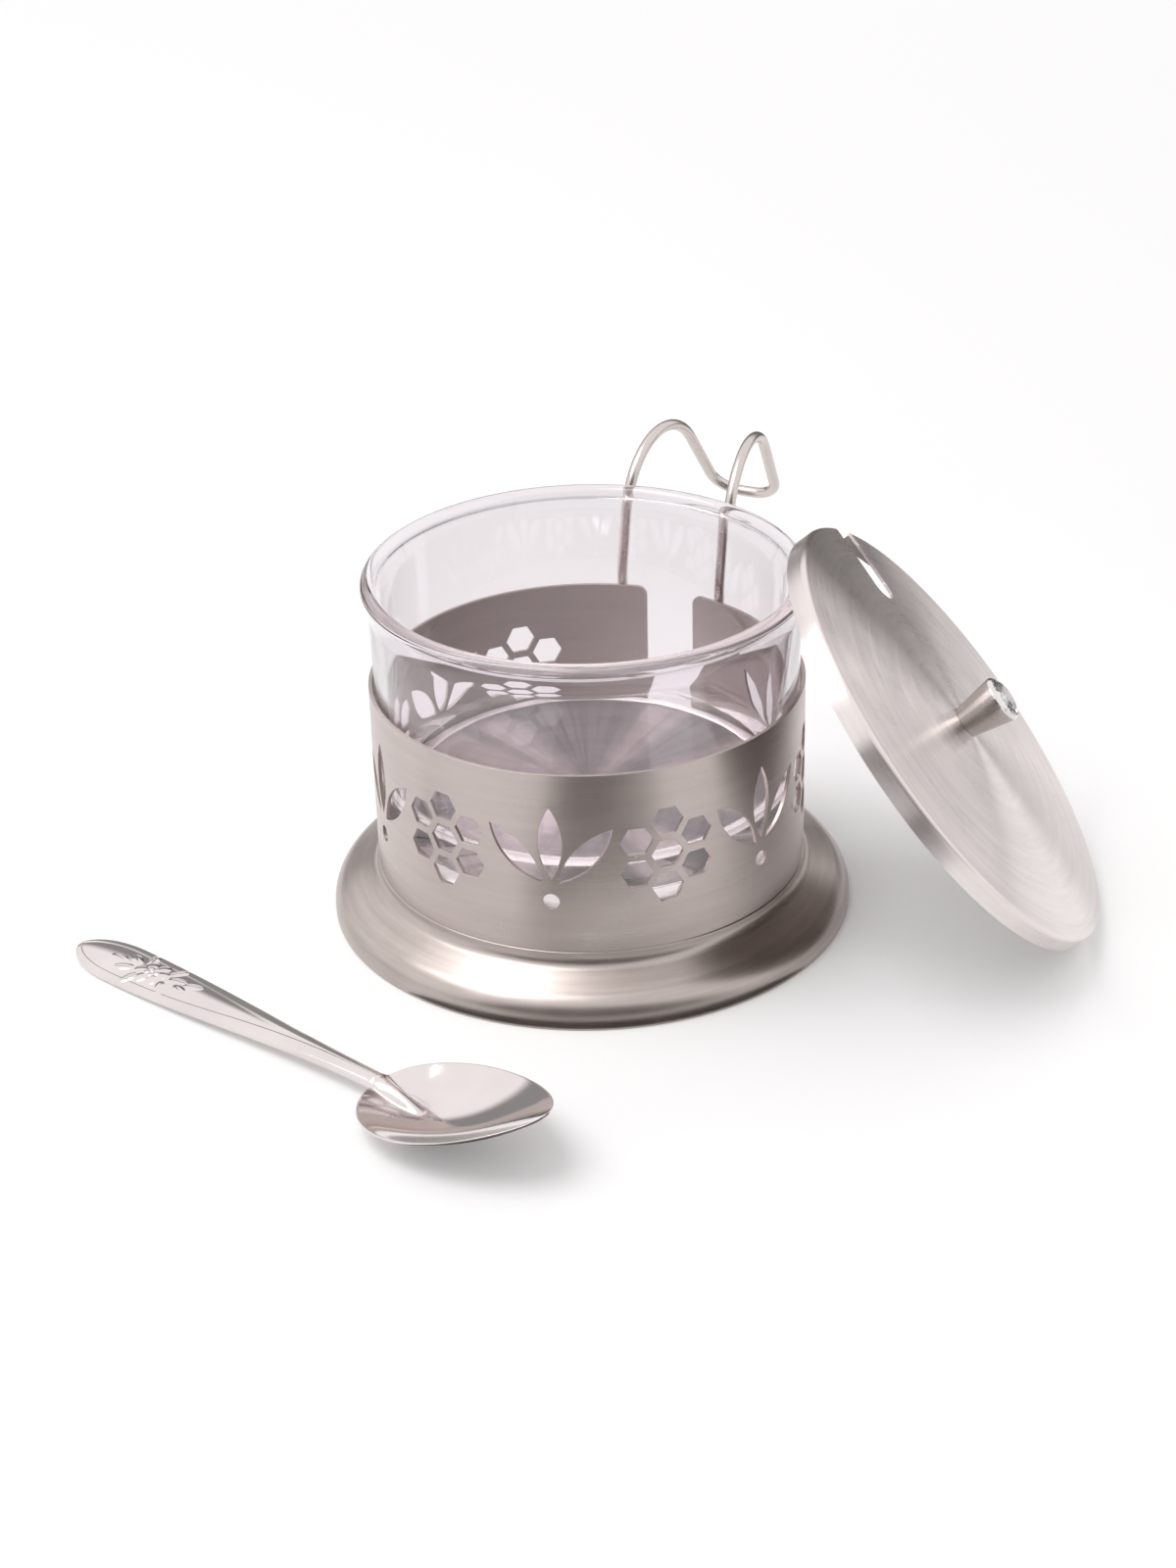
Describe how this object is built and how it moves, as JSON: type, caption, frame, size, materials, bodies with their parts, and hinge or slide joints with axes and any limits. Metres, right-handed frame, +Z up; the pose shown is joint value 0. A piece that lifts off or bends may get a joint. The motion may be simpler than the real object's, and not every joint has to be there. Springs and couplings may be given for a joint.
{
  "type": "honey dish",
  "caption": "Glass honey cup in a pierced steel holder with a flared foot, a wire spoon rest at the back, a notched lid with a crystal knob, and a teaspoon.",
  "frame": {"origin": "centre of the foot, on the table", "axes": "+Z up; -Y is the front of the dish, +X to its right, where the lid leans"},
  "size_m": [0.227, 0.1994, 0.0867],
  "materials": {
    "foot_steel": "satin, spun",
    "band_steel": "brushed around the band",
    "wire_steel": "satin drawn wire",
    "cup_glass": "clear pressed glass",
    "lid_steel": "brushed in circles",
    "knob_steel": "turned, with a polished bezel",
    "crystal": "cut and polished",
    "screw_steel": "plain",
    "spoon_steel": "polished stainless steel"
  },
  "bodies": {
    "holder": {"foot": "foot_steel", "band": "band_steel", "spoon_rest": "wire_steel"},
    "glass": {"glass_cup": "cup_glass"},
    "lid": {"lid_pan": "lid_steel", "lid_knob": "knob_steel", "knob_crystal": "crystal", "knob_screw": "screw_steel"},
    "spoon": {"spoon": "spoon_steel"}
  },
  "joints": [
    {"name": "glass_lift", "type": "slide", "parent": "holder", "child": "glass", "axis": [0, 0, 1], "range_m": [0, 0.06]},
    {"name": "lid_lift", "type": "slide", "parent": "glass", "child": "lid", "axis": [0, 0, 1], "range_m": [0, 0.08]},
    {"name": "spoon_lift", "type": "slide", "parent": "holder", "child": "spoon", "axis": [0, 0, 1], "range_m": [0, 0.08]}
  ]
}
